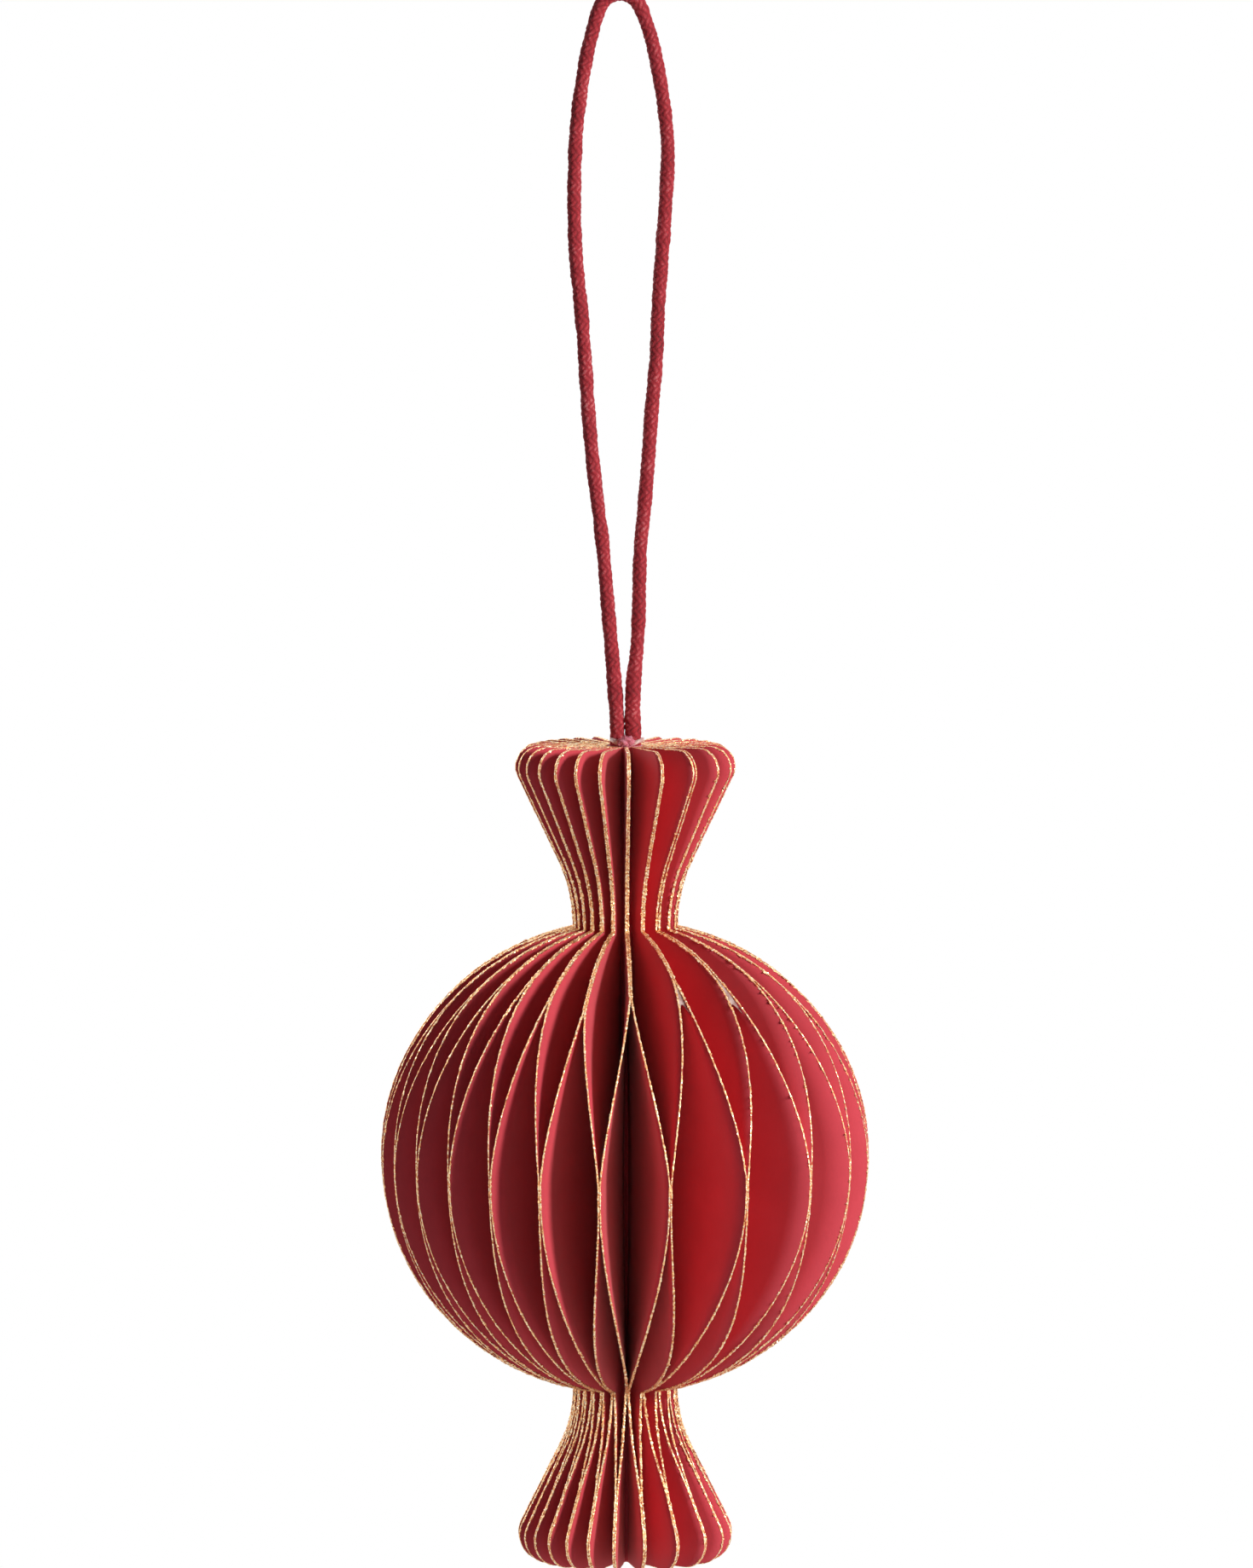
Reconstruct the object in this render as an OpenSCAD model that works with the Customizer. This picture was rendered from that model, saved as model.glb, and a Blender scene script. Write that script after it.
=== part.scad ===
// Accordion paper lantern: a hanging ornament of die-cut card leaves.
//
// Every leaf has the same outline, which is half of the lantern's silhouette: a flared cap, a
// neck, a ball, a second neck and a flared foot. Neighbouring leaves are glued together in spots
// that alternate between two kinds of line. On an even line the spots lie on the cap and the
// neck and again on the lower neck; on an odd line they lie on the ball's equator and on the rim
// of the foot. Opened all the way round, each leaf swings from one line to the other and back.
// The first and the last leaf meet at the seam, where closure pads hold them together.
//
// Axes: Z is up along the spine and -Y is the front. The origin is the inside of the top of the
// hanging loop, where a hook or a twig carries the lantern.

/* [Leaves] */
// Number of leaves round the spine, an even number
leaf_count = 52; // [36:2:52]
// Thickness of the card
card_t = 0.25; // [0.15:0.01:0.3]
// Thickness of the glue between two leaves
glue_t = 0.05; // [0.03:0.01:0.1]
// How much wider the leaves stand open near the seam, as a share of the pitch
seam_ratio = 0.45; // [0:0.05:0.6]
// How much wider they stand on the right than on the left, as a share of the pitch
side_ratio = 0.09; // [0:0.01:0.15]
// Angle of the seam, from the front towards the right
seam_angle = 39; // [0:1:90]
// Width of the gap between the two leaves at the seam
seam_gap = 0.35; // [0.3:0.05:0.6]

/* [Cap] */
// Height of the cap and its neck above the ball
cap_h = 30.1; // [24:0.1:36]
// Radius of the cap at its widest
cap_r = 18; // [14:0.5:24]
// Radius of the rounded rim of the cap
cap_round = 3.6; // [2:0.1:6]
// Depth of the shallow dish in the top of the cap
cap_dish = 0.2; // [0:0.1:1.5]

/* [Ball] */
// Radius of the ball at its equator
ball_r = 40.2; // [32:0.1:50]
// Half the height that the ball would have without its necks
ball_half_h = 38.9; // [32:0.1:50]
// Radius of both necks where they meet the ball
neck_r = 8.5; // [7:0.1:11]

/* [Foot] */
// Height of the foot and its neck below the ball
foot_h = 28.8; // [24:0.1:36]
// Radius of the foot at its widest
foot_r = 17.6; // [14:0.1:24]
// Radius of the rounded rim of the foot
foot_round = 4.4; // [2:0.1:6]

/* [Glue lines] */
// How far down onto the ball the glue of the even lines reaches, on average
even_reach = 8.5; // [5:0.5:12]
// How much further or less far it reaches from one line to the next
reach_sway = 2.5; // [0:0.5:4]
// How far above the lower neck the glue of the even lines starts again
even_rise = 0.8; // [0.2:0.1:3]
// How far below the equator the glued spots of the odd lines lie
equator_drop = 2; // [0:0.5:5]
// Half the height of those spots
equator_spot = 2; // [1:0.5:6]
// Height of the glued spot on the rim of the foot
foot_spot = 13; // [4:0.5:16]

/* [Cord] */
// Diameter of the hanging cord
cord_d = 2.3; // [1.8:0.1:2.6]
// Length of the cord's legs inside the spine
leg_depth = 24; // [12:1:30]

/* [Hidden] */
// Curvature of the necks, from the ball towards the rims
cap_sweep = 26;
foot_sweep = 22;
// Distance from the inside of the loop to the top of the cap
loop_drop = 121.7;
// How the leaves bow between their glued spots, 1 for a straight run
upper_bow_ratio = 1.3;
lower_bow_ratio = 1.7;
foot_bow_ratio = 1.2;
// Turn of the sway from one line to the next, and where it starts
sway_turn = 36;
sway_start = 216;
// Where the leaves stand widest, past the seam
side_turn = 55;
// Clearance between a leaf and what stands inside the spine, and room left in the spine
spine_clear = 0.3;
spine_spare = 0.05;
// Clearance between the cord and what grips it, and between its two legs
cord_clear = 0.05;
leg_gap = 0.3;
// Thread of the binding and its number of turns
thread_d = 0.4;
thread_turns = 4;
// Seam pads: height, how far they lie inside the edge of the neck, clearance to each leaf, and
// how far the middle of the lower one lies below the ball
pad_h = 5;
pad_inset = 0.8;
pad_clear = 0.05;
lower_pad_drop = 1.5;
// Hot glue left under the ends of the cord
plug_foot = 2;
// Stations down the leaf in each stretch of its outline
rim_steps = 4;
flank_steps = 3;
ball_steps = 16;
// Sides of the cord's tube and rings from one point of its route to the next
cord_sides = 8;
cord_steps = 2;

// Names of the leaves, from the seam round to the right
leaf_names = [for (i = [1 : leaf_count]) str("leaf_", i < 10 ? "0" : "", i)];

// Route of the cord's middle from the end of one leg, round the loop, to the end of the other
leg_x = (cord_d + leg_gap) / 2;
leg_end = -loop_drop - leg_depth;
cord_route = [
    [-leg_x, 0, leg_end], [-leg_x, 0, -122], [-1.4, 0, -117], [-1.8, 0, -111.5],
    [-2.25, 0, -106], [-2.75, 0, -100.3], [-3.2, 0, -94.8], [-3.7, 0, -89], [-4.35, 0, -83.5],
    [-5.35, 0.1, -75], [-6.05, 0.1, -67], [-6.6, 0.1, -58.5], [-7.25, 0.2, -50],
    [-8.05, 0.2, -42], [-8.35, 0.1, -33.5], [-8.2, 0.1, -25], [-7.85, 0, -19.5],
    [-7.15, 0, -14], [-6.2, 0, -8.4], [-5.5, 0, -5.6], [-4.8, 0, -2.9], [-3.85, 0, -0.5],
    [-2.6, 0, 0.65], [-0.6, 0, cord_d / 2],
    [1.3, 0, 0.45], [2.4, 0, -0.9], [3.2, 0, -2.9], [4.1, 0, -5.6], [4.8, 0, -8.4],
    [5.85, 0, -14], [6.6, 0, -19.5], [6.95, -0.1, -25], [6.55, -0.1, -33.5], [5.95, -0.2, -42],
    [5.4, -0.2, -50], [5.05, -0.2, -58.5], [4.3, -0.1, -67], [3.75, -0.1, -75],
    [3.05, 0, -83.5], [2.5, 0, -89], [2.3, 0, -94.8], [2.2, 0, -100.3], [1.9, 0, -106],
    [1.35, 0, -111.5], [1.2, 0, -117], [leg_x, 0, -122], [leg_x, 0, leg_end]];

// Heights, downwards from the loop
cap_top = -loop_drop;
ball_top = cap_top - cap_h;
neck_share = sqrt(1 - pow(neck_r / ball_r, 2));
ball_mid = ball_top - ball_half_h * neck_share;
ball_bottom = ball_mid - ball_half_h * neck_share;
foot_bottom = ball_bottom - foot_h;

// Pitch of the leaves and the angles of the glue lines. The pitch is widest at the seam's peak
// and fades over some leaves on each side.
seam_peak = leaf_count - 1.5;
seam_leaf_count = 4;
function from_seam(i) = min(abs(i - seam_peak), abs(i + leaf_count - seam_peak));
function slack(i) = 1 + seam_ratio * exp(-pow(from_seam(i) / seam_leaf_count, 2))
    + side_ratio * cos(360 * i / leaf_count - side_turn);
function total(v, i = 0) = i < len(v) ? v[i] + total(v, i + 1) : 0;
slacks = [for (i = [0 : leaf_count - 1]) slack(i)];
slack_sum = total(slacks);
function pitch(i) = 360 * slacks[i] / slack_sum;
function line_angle(i) = i == 0 ? seam_angle : line_angle(i - 1) + pitch(i - 1);

// Inner edge of the leaves: a ring that takes them side by side and the bound cord inside them
least_pitch = 360 * min(slacks) / slack_sum;
leaf_pack = (card_t + glue_t) / 2;
bound_r = leg_x + cord_d / 2 + cord_clear + thread_d + spine_clear;
spine_r = max(leaf_pack / tan(least_pitch / 2), bound_r) + spine_spare;

// Outline of a flared end as [radius, distance from the ball], from the neck to the flat end
function flare_tilt(h, wide, round, sweep) =
    let (across = neck_r + sweep - wide + round, along = h - round)
    atan2(along, across) - acos((sweep + round) / norm([across, along]));
function flare(h, wide, round, sweep) =
    let (tilt = flare_tilt(h, wide, round, sweep),
        low = [neck_r + sweep * (1 - cos(tilt)), sweep * sin(tilt)],
        high = [wide - round * (1 - cos(tilt)), h - round - round * sin(tilt)])
    concat(
        [for (k = [0 : rim_steps]) let (a = tilt * k / rim_steps)
            [neck_r + sweep * (1 - cos(a)), sweep * sin(a)]],
        [for (k = [1 : flank_steps - 1]) low + (high - low) * k / flank_steps],
        [for (k = [0 : rim_steps]) let (a = -tilt + (90 + tilt) * k / rim_steps)
            [wide - round * (1 - cos(a)), h - round + round * sin(a)]]);
function reversed(v) = [for (k = [len(v) - 1 : -1 : 0]) v[k]];

// The whole outline as [radius, height], from the top down
neck_turn = asin(neck_r / ball_r);
outline = concat(
    [for (p = reversed(flare(cap_h, cap_r, cap_round, cap_sweep))) [p[0], ball_top + p[1]]],
    [for (k = [1 : ball_steps - 1])
        let (a = neck_turn + (180 - 2 * neck_turn) * k / ball_steps)
        [ball_r * sin(a), ball_mid + ball_half_h * cos(a)]],
    [for (p = flare(foot_h, foot_r, foot_round, foot_sweep)) [p[0], ball_bottom - p[1]]]);

// Share of the way from a leaf's even line to its odd line, at a height
function even_line(i) = i + i % 2;
function reach(i) = even_reach + reach_sway * cos(sway_turn * even_line(i) - sway_start);
lower_join = ball_bottom + even_rise;
spot_top = ball_mid - equator_drop + equator_spot;
spot_bottom = ball_mid - equator_drop - equator_spot;
rim_spot = foot_bottom + foot_spot;
function near_spot(past, length, bow) = 1 - pow(min(max(past / length, 0), 1), bow);
function to_odd(i, z) = z > spot_bottom
    ? near_spot(z - spot_top, ball_top - reach(i) - spot_top, upper_bow_ratio)
    : z > lower_join
        ? near_spot(spot_bottom - z, spot_bottom - lower_join, lower_bow_ratio)
        : near_spot(z - rim_spot, lower_join - rim_spot, foot_bow_ratio);

// Where a leaf's middle surface lies beside its mid-plane, at a radius and a height
function swing(i, x, z) =
    let (side = i % 2 == 0 ? 2 * to_odd(i, z) - 1 : 1 - 2 * to_odd(i, z), half = pitch(i) / 2,
        gap = i == 0 && side < 0 || i == leaf_count - 1 && side > 0
            ? (card_t + seam_gap) / 2 : leaf_pack)
    side * max(x * tan(half) - gap / cos(half), 0);

// Height of the inner end of a station, under the dish of the cap
function inner_z(z) = foot_bottom + (z - foot_bottom) * (1 - cap_dish / (cap_top - foot_bottom));

// Heights of what stands inside the spine and of the seam pads
binding_top = cap_top - cap_dish;
plug_top = binding_top - thread_turns * thread_d;
plug_h = plug_top - cap_top + leg_depth + plug_foot;
upper_pad_z = ball_top + pad_h;
lower_pad_z = ball_bottom - lower_pad_drop;

// Places child geometry with +X along the mid-plane of leaf i
module at_leaf(i) {
    rotate(line_angle(i) + pitch(i) / 2 - 90) children();
}

// The two triangles between neighbouring rings on one side, cut along the diagonal that both
// faces of a leaf share with the neighbours that lie against them
function side_faces(a, b, s) =
    let (n = (s + 1) % 4)
    s == 2 ? [[a + s, a + n, b + s], [a + n, b + n, b + s]]
        : [[a + s, a + n, b + n], [a + s, b + n, b + s]];

// A closed skin over rings of four points, from the top down
module ring_skin(rings) {
    last = 4 * (len(rings) - 1);
    polyhedron(
        points = [for (ring = rings) for (p = ring) p],
        faces = concat(
            [[3, 2, 1], [3, 1, 0]],
            [for (a = [0 : 4 : last - 4]) for (s = [0 : 3]) for (f = side_faces(a, a + 4, s)) f],
            [[last, last + 1, last + 2], [last, last + 2, last + 3]]),
        convexity = 6);
}

// One leaf of card, straight from the spine to its edge at every height
module leaf(i) {
    color(i % 2 == 0 ? "#a8141c" : "#971219")
    at_leaf(i)
    ring_skin([for (p = outline)
        let (root = swing(i, spine_r, p[1]), edge = swing(i, p[0], p[1]))
        [[spine_r, root - card_t / 2, inner_z(p[1])],
            [p[0], edge - card_t / 2, p[1]],
            [p[0], edge + card_t / 2, p[1]],
            [spine_r, root + card_t / 2, inner_z(p[1])]]]);
}

// Double-sided pad between the last leaf and the first one, on the seam
module seam_pad(z) {
    color("#e8dcc8")
    rotate(seam_angle - 90)
    translate([spine_r + spine_clear, -seam_gap / 2 + pad_clear, z - pad_h / 2])
    cube([neck_r - pad_inset - spine_r - spine_clear, seam_gap - 2 * pad_clear, pad_h]);
}

// The two legs of the cord as a flat outline, grown by some distance
module legs_outline(grow) {
    for (side = [-1, 1])
        translate([side * leg_x, 0])
        circle(r = cord_d / 2 + grow, $fn = 48);
    square([2 * leg_x, cord_d + 2 * grow], center = true);
}

// Thread wound round both legs of the cord in the mouth of the spine
module binding_thread() {
    color("#e0607a")
    translate([0, 0, binding_top - thread_turns * thread_d])
    for (turn = [0 : thread_turns - 1])
        translate([0, 0, turn * thread_d])
        linear_extrude(thread_d)
        difference() {
            legs_outline(cord_clear + thread_d);
            legs_outline(cord_clear);
        }
}

// Hot glue that holds the legs of the cord inside the spine
module glue_plug() {
    color("#efe6d6")
    translate([0, 0, plug_top - plug_h])
    difference() {
        cylinder(h = plug_h, r = spine_r - spine_clear, $fn = 64);
        for (side = [-1, 1])
            translate([side * leg_x, 0, plug_foot])
            cylinder(h = plug_h, r = cord_d / 2 + cord_clear, $fn = 48);
    }
}

// A point on the smooth curve through the route, part of the way from one point to the next
function on_route(k, t) =
    let (last = len(cord_route) - 1,
        a = cord_route[max(k - 1, 0)], b = cord_route[k],
        c = cord_route[k + 1], d = cord_route[min(k + 2, last)])
    b + (c - a) * t / 2 + (2 * a - 5 * b + 4 * c - d) * t * t / 2
        + (3 * b - a - 3 * c + d) * t * t * t / 2;
function cord_line() = concat(
    [for (k = [0 : len(cord_route) - 2]) for (s = [0 : cord_steps - 1]) on_route(k, s / cord_steps)],
    [cord_route[len(cord_route) - 1]]);

// The hanging loop of cord, both ends in the glue plug
module hanging_cord() {
    line = cord_line();
    last = len(line) - 1;
    rings = [for (k = [0 : last])
        let (along = line[min(k + 1, last)] - line[max(k - 1, 0)],
            ahead = along / norm(along),
            side = [0, 1, 0] - ahead * ahead[1],
            across = side / norm(side),
            up = cross(ahead, across))
        [for (s = [0 : cord_sides - 1])
            let (a = 360 * (s + 0.5) / cord_sides)
            line[k] + cord_d / 2 * (across * cos(a) + up * sin(a))]];
    color("#b02530")
    polyhedron(
        points = [for (ring = rings) for (p = ring) p],
        faces = concat(
            [[for (s = [0 : cord_sides - 1]) s]],
            [for (k = [0 : last - 1]) for (s = [0 : cord_sides - 1])
                let (n = (s + 1) % cord_sides, a = cord_sides * k, b = a + cord_sides)
                each [[a + s, b + n, a + n], [a + s, b + s, b + n]]],
            [[for (s = [cord_sides - 1 : -1 : 0]) cord_sides * last + s]]),
        convexity = 4);
}

for (i = [0 : leaf_count - 1])
    leaf(i);
seam_pad(upper_pad_z);  // seam_pad_upper
seam_pad(lower_pad_z);  // seam_pad_lower
binding_thread();
glue_plug();
hanging_cord();
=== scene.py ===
import math
import random

import bmesh
import bpy
from mathutils import Matrix, Vector, noise


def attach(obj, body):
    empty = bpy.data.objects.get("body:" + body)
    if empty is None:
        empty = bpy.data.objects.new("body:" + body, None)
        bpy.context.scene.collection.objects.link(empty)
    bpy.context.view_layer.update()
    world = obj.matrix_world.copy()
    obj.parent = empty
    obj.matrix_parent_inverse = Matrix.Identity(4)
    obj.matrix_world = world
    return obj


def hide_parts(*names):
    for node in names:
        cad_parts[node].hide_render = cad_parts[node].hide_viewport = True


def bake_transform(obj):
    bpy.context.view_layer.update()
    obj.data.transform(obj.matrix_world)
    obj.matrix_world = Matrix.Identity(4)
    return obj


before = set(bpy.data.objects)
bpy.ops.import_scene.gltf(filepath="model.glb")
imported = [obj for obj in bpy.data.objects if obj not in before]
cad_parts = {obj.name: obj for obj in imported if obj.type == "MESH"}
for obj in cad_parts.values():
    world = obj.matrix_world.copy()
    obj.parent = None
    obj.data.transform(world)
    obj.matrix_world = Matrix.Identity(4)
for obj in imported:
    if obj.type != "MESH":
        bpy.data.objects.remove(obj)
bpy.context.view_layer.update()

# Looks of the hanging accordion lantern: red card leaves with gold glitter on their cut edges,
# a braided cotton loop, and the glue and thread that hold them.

MM = 0.001

# Sizes of the leaves in millimetres and degrees, as in the part's source
LEAVES = 52
CARD = 0.25
GLUE = 0.05
SEAM_ANGLE = 39
SEAM_GAP = 0.35
SEAM_RATIO = 0.45
SEAM_LEAVES = 4
SEAM_PEAK = LEAVES - 1.5
SIDE_RATIO = 0.09
SIDE_TURN = 55
SPINE_R = 3.25
LOOP_DROP = 121.7
CAP_H, CAP_R, CAP_ROUND, CAP_DISH, CAP_SWEEP = 30.1, 18, 3.6, 0.2, 26
FOOT_H, FOOT_R, FOOT_ROUND, FOOT_SWEEP = 28.8, 17.6, 4.4, 22
BALL_R, BALL_HALF_H, NECK_R = 40.2, 38.9, 8.5
EVEN_REACH, REACH_SWAY, SWAY_TURN, SWAY_START = 8.5, 2.5, 36, 216
EVEN_RISE, EQUATOR_DROP, EQUATOR_SPOT, FOOT_SPOT = 0.8, 2, 2, 13
UPPER_BOW, LOWER_BOW, FOOT_BOW = 1.3, 1.7, 1.2

CAP_TOP = -LOOP_DROP
BALL_TOP = CAP_TOP - CAP_H
BALL_DROP = BALL_HALF_H * math.sqrt(1 - (NECK_R / BALL_R) ** 2)
BALL_MID = BALL_TOP - BALL_DROP
BALL_BOTTOM = BALL_MID - BALL_DROP
FOOT_BOTTOM = BALL_BOTTOM - FOOT_H

# Sizes of the cord in millimetres, and its route from one end in the glue round to the other
CORD_D = 2.3
LEG_X = 1.3
LEG_END = -145.7
CORD_ROUTE = [
    (-LEG_X, 0, LEG_END), (-LEG_X, 0, -122), (-1.4, 0, -117), (-1.8, 0, -111.5),
    (-2.25, 0, -106), (-2.75, 0, -100.3), (-3.2, 0, -94.8), (-3.7, 0, -89), (-4.35, 0, -83.5),
    (-5.35, 0.1, -75), (-6.05, 0.1, -67), (-6.6, 0.1, -58.5), (-7.25, 0.2, -50),
    (-8.05, 0.2, -42), (-8.35, 0.1, -33.5), (-8.2, 0.1, -25), (-7.85, 0, -19.5),
    (-7.15, 0, -14), (-6.2, 0, -8.4), (-5.5, 0, -5.6), (-4.8, 0, -2.9), (-3.85, 0, -0.5),
    (-2.6, 0, 0.65), (-0.6, 0, CORD_D / 2),
    (1.3, 0, 0.45), (2.4, 0, -0.9), (3.2, 0, -2.9), (4.1, 0, -5.6), (4.8, 0, -8.4),
    (5.85, 0, -14), (6.6, 0, -19.5), (6.95, -0.1, -25), (6.55, -0.1, -33.5), (5.95, -0.2, -42),
    (5.4, -0.2, -50), (5.05, -0.2, -58.5), (4.3, -0.1, -67), (3.75, -0.1, -75),
    (3.05, 0, -83.5), (2.5, 0, -89), (2.3, 0, -94.8), (2.2, 0, -100.3), (1.9, 0, -106),
    (1.35, 0, -111.5), (1.2, 0, -117), (LEG_X, 0, -122), (LEG_X, 0, LEG_END)]


def smooth_route(points, step):
    """Points on a smooth curve through the given ones, about a step apart."""
    line = []
    last = len(points) - 1
    for k in range(last):
        a, b = Vector(points[max(k - 1, 0)]), Vector(points[k])
        c, d = Vector(points[k + 1]), Vector(points[min(k + 2, last)])
        parts = max(round((c - b).length / step), 1)
        for n in range(parts):
            t = n / parts
            line.append(b + (c - a) * t / 2 + (2 * a - 5 * b + 4 * c - d) * t * t / 2
                        + (3 * b - a - 3 * c + d) * t * t * t / 2)
    return line + [Vector(points[last])]


# Camera in metres: in front of the lantern, above the loop, and looking a little down
CAMERA_X, CAMERA_DISTANCE, CAMERA_HEIGHT = 0.0002, 1.9, 0.048
AIM_HEIGHT = -0.12825
CAMERA_LENS = 267
CAMERA_NEAR, CAMERA_FAR = 0.05, 30
camera = bpy.data.objects.new("camera", bpy.data.cameras.new("camera"))
bpy.context.scene.collection.objects.link(camera)
bpy.context.scene.camera = camera
camera.data.lens = CAMERA_LENS
camera.location = (CAMERA_X, -CAMERA_DISTANCE, CAMERA_HEIGHT)
look_at = Vector((CAMERA_X, 0, AIM_HEIGHT))
camera.rotation_mode = "QUATERNION"
camera.rotation_quaternion = (look_at - camera.location).to_track_quat("-Z", "Y")
camera.data.clip_start, camera.data.clip_end = CAMERA_NEAR, CAMERA_FAR


def srgb(code):
    """The linear colour of an sRGB hex value."""
    parts = [int(code[k:k + 2], 16) / 255 for k in (1, 3, 5)]
    return (*[c / 12.92 if c <= 0.04045 else ((c + 0.055) / 1.055) ** 2.4 for c in parts], 1)


def add(tree, kind, settings=(), stops=(), **inputs):
    """Adds a node with its settings, and with its (place, colour) stops if it is a colour ramp.
    An input named Base_Color is the socket Base Color, in0 is the first one, and a (node, output)
    pair is linked to it."""
    node = tree.nodes.new(kind)
    for name, value in dict(settings).items():
        setattr(node, name, value)
    for k, (place, colour) in enumerate(stops):
        marks = node.color_ramp.elements
        mark = marks[k] if k < len(marks) else marks.new(place)
        mark.position, mark.color = place, colour
    for name, value in inputs.items():
        key = int(name[2:]) if name[:2] == "in" and name[2:].isdigit() else name.replace("_", " ")
        if isinstance(value, tuple) and isinstance(value[0], bpy.types.Node):
            tree.links.new(value[0].outputs[value[1]], node.inputs[key])
        else:
            node.inputs[key].default_value = value
    return node


def new_material(name):
    """An empty material and its node tree."""
    material = bpy.data.materials.new(name)
    material.use_nodes = True
    material.node_tree.nodes.clear()
    return material, material.node_tree


# Uncoated cover card, dyed through and calendered: nearly matt, with faint clouds of pulp about
# 9 mm wide, fibres that lie mostly upright in the surface and a weak wide highlight
def dyed_card(name, shade, deep):
    material, tree = new_material(name)
    place = add(tree, "ShaderNodeTexCoord")
    cloud = add(tree, "ShaderNodeTexNoise", Vector=(place, "Object"), Scale=1 / (9 * MM), Detail=4)
    fibre_space = add(tree, "ShaderNodeMapping", Vector=(place, "Object"), Scale=(1, 1, 0.35))
    # pulp fibres are about 0.03 mm thick, drawn here at 0.25 mm so that they show
    fibre = add(tree, "ShaderNodeTexNoise", Vector=(fibre_space, 0), Scale=1 / (0.25 * MM),
                Detail=3, Distortion=0.6)
    fibre_share = 0.35
    mottle = add(tree, "ShaderNodeMath", {"operation": "MULTIPLY_ADD"},
                 in0=(fibre, 0), in1=fibre_share, in2=(cloud, 0))
    colour = add(tree, "ShaderNodeValToRGB", stops=((0.3, srgb(deep)), (0.95, srgb(shade))),
                 in0=(mottle, 0))
    bump = add(tree, "ShaderNodeBump", Strength=0.25, Distance=0.02 * MM, Height=(fibre, 0))
    card = add(tree, "ShaderNodeBsdfPrincipled", Base_Color=(colour, 0), Roughness=0.9,
               IOR=1.5, Specular_IOR_Level=0.9, Sheen_Weight=0.2, Sheen_Roughness=0.6,
               Sheen_Tint=srgb("#ffe8dc"), Normal=(bump, 0))
    add(tree, "ShaderNodeOutputMaterial", Surface=(card, 0))
    return material


# Gold glitter in clear glue: metal flakes of about 0.25 mm at all angles. Their colours run at
# random from dark reddish to near white, a painted flash and painted dark, reddish reflections,
# while a bump tilts each flake for real. The clear glue between them takes a little of the metal
# away.
def gold_glitter():
    material, tree = new_material("gold_glitter")
    place = add(tree, "ShaderNodeTexCoord")
    flakes = add(tree, "ShaderNodeTexVoronoi", Vector=(place, "Object"), Scale=1 / (0.25 * MM))
    tone = add(tree, "ShaderNodeSeparateColor", Color=(flakes, "Color"))
    # painted flash and painted dark, reddish reflections: each flake's colour is drawn from dark
    # reddish to near white
    stops = ((0.0, srgb("#b86a3c")), (0.25, srgb("#f2ac72")), (0.6, srgb("#ffd69e")),
             (1.0, srgb("#fff2d2")))
    colour = add(tree, "ShaderNodeValToRGB", stops=stops, in0=(tone, 0))
    tilt = add(tree, "ShaderNodeBump", Strength=0.45, Distance=0.06 * MM, Height=(tone, 1))
    gloss = add(tree, "ShaderNodeMapRange", Value=(tone, 2), To_Min=0.25, To_Max=0.6)
    gold = add(tree, "ShaderNodeBsdfPrincipled", Base_Color=(colour, 0), Metallic=0.92,
               Roughness=(gloss, 0), Normal=(tilt, 0))
    add(tree, "ShaderNodeOutputMaterial", Surface=(gold, 0))
    return material


# Cotton yarn, dyed red and lightly waxed: soft, with paler fibres here and there. The crowns of the
# braid carry a painted highlight and its valleys painted shade, both from the height of the braid,
# which is stored on the mesh with the place on its yarns.
def waxed_cotton():
    material, tree = new_material("waxed_red_cotton")
    height = add(tree, "ShaderNodeAttribute", {"attribute_name": "braid_height"})
    wrap = add(tree, "ShaderNodeAttribute", {"attribute_name": "yarn_place"})
    # cotton fibres are about 0.02 mm thick, drawn here at 0.125 mm so that they show
    fibre = add(tree, "ShaderNodeTexNoise", Vector=(wrap, "Vector"), Scale=1, Detail=3)
    place = add(tree, "ShaderNodeTexCoord")
    patch = add(tree, "ShaderNodeTexNoise", Vector=(place, "Object"), Scale=1 / (4 * MM), Detail=3)
    # painted shade in the braid's valleys and a painted highlight on its crowns: the braid's height
    # darkens or lightens the colour
    painted_braid_light_share = 0.65
    painted_braid_light_and_fibre = add(tree, "ShaderNodeMath", {"operation": "MULTIPLY_ADD"},
               in0=(height, "Fac"), in1=painted_braid_light_share, in2=(fibre, 0))
    total = add(tree, "ShaderNodeMath", {"operation": "ADD"}, in0=(patch, 0), in1=(painted_braid_light_and_fibre, 0))
    tone = add(tree, "ShaderNodeMath", {"operation": "MULTIPLY"}, in0=(total, 0), in1=0.5)
    stops = ((0.4, srgb("#5c0c16")), (0.57, srgb("#a41e2a")), (0.78, srgb("#c83642")),
             (0.96, srgb("#ec8e90")))
    colour = add(tree, "ShaderNodeValToRGB", stops=stops, in0=(tone, 0))
    bump = add(tree, "ShaderNodeBump", Strength=0.5, Distance=0.03 * MM, Height=(fibre, 0))
    yarn = add(tree, "ShaderNodeBsdfPrincipled", Base_Color=(colour, 0), Roughness=0.8,
               Sheen_Weight=0.45, Sheen_Roughness=0.45, Sheen_Tint=srgb("#ff9098"),
               Subsurface_Weight=0.5, Subsurface_Scale=0.0012, Subsurface_Radius=(1, 0.15, 0.15),
               Normal=(bump, 0))
    add(tree, "ShaderNodeOutputMaterial", Surface=(yarn, 0))
    return material


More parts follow.
